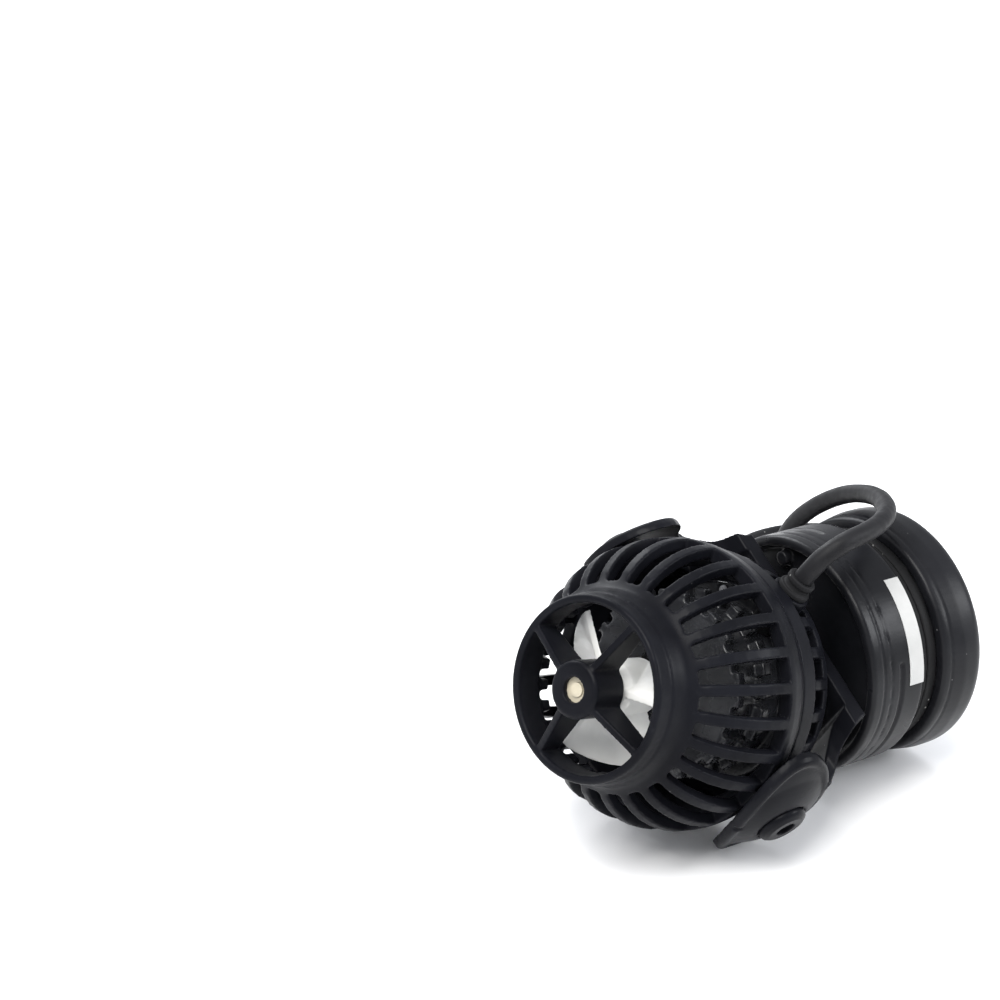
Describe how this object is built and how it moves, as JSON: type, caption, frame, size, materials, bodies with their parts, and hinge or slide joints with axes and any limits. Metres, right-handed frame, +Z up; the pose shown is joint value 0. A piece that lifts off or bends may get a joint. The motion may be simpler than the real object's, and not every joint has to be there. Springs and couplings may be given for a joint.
{
  "type": "wave maker pump",
  "caption": "Propeller pump in a slotted ball cage, carried by a tilting yoke on a two-part magnetic mount, for moving water in an aquarium or pond.",
  "frame": {"origin": "on the table under the middle of the pump and its mount, cable left out", "axes": "+Z up, +X along the magnet axis from the nozzle towards the dry puck, +Y towards the far ear"},
  "size_m": [0.1649, 0.1212, 0.0691],
  "materials": {
    "cage": "satin moulded black",
    "yoke": "satin moulded black",
    "motor": "smooth dark grey",
    "propeller": "off-white, slightly glossy",
    "ceramic": "cream ceramic, ground smooth",
    "ferrite": "sintered ferrite, coated",
    "steel": "plated steel",
    "copper": "enamelled copper wire",
    "potting": "black epoxy",
    "rubber": "soft black rubber",
    "cable": "matt black jacket",
    "tie": "black nylon",
    "connector": "matt black moulding",
    "contact": "gold plated",
    "cup": "smooth black with a soft sheen",
    "puck": "smooth black with a soft sheen",
    "pad": "matt black rubber",
    "label": "blank white sticker"
  },
  "bodies": {
    "motor": {"rear_cage": "cage", "motor_cover": "motor", "motor_can": "motor", "stator_core": "steel", "stator_coils": "copper", "potting": "potting", "can_screws": "steel", "pivot_pins": "cage", "rear_bush": "ceramic", "rear_bush_sleeve": "rubber", "strain_relief": "rubber", "cable": "cable", "cable_coil": "cable", "cable_tail": "cable", "coil_tie": "tie", "connector_body": "connector", "connector_nut": "connector", "connector_pins": "contact"},
    "cage": {"front_cage": "cage", "spider": "cage", "front_bush": "ceramic", "front_bush_sleeve": "rubber"},
    "rotor": {"propeller": "propeller", "rotor_sleeve": "propeller", "rotor_magnet": "ferrite", "shaft": "ceramic", "front_washer": "ceramic", "rear_washer": "ceramic"},
    "yoke_arm": {"yoke": "yoke", "hub_washer": "steel", "hub_screw": "steel"},
    "wet_side": {"wet_front_ring": "cup", "wet_cup": "cup", "wet_plate": "steel", "wet_magnet": "ferrite", "wet_lid": "cup", "wet_pad": "pad", "wet_label": "label"},
    "dry_puck": {"dry_shell": "puck", "dry_plate": "steel", "dry_magnet": "ferrite", "dry_lid": "puck", "dry_pad": "pad"}
  },
  "joints": [
    {"name": "cage_twist", "type": "hinge", "parent": "motor", "child": "cage", "pos_m": [-0.00865, 0, 0.03225], "axis": [0.9244, 0.1761, -0.3384], "range_deg": [0, 14]},
    {"name": "rotor_spin", "type": "hinge", "parent": "motor", "child": "rotor", "pos_m": [-0.00865, 0, 0.03225], "axis": [0.9244, 0.1761, -0.3384], "continuous": true},
    {"name": "yoke_tilt", "type": "hinge", "parent": "motor", "child": "yoke_arm", "pos_m": [-0.00865, 0, 0.03225], "axis": [0.0335, 0.8462, 0.5318], "range_deg": [0, 47]},
    {"name": "mount_swivel", "type": "hinge", "parent": "yoke_arm", "child": "wet_side", "pos_m": [-0.00865, 0, 0.03225], "axis": [0.998, 0, -0.0628], "range_deg": [0, 95]},
    {"name": "magnet_gap", "type": "slide", "parent": "wet_side", "child": "dry_puck", "axis": [0.998, 0, -0.0628], "range_m": [0, 0.008]}
  ]
}
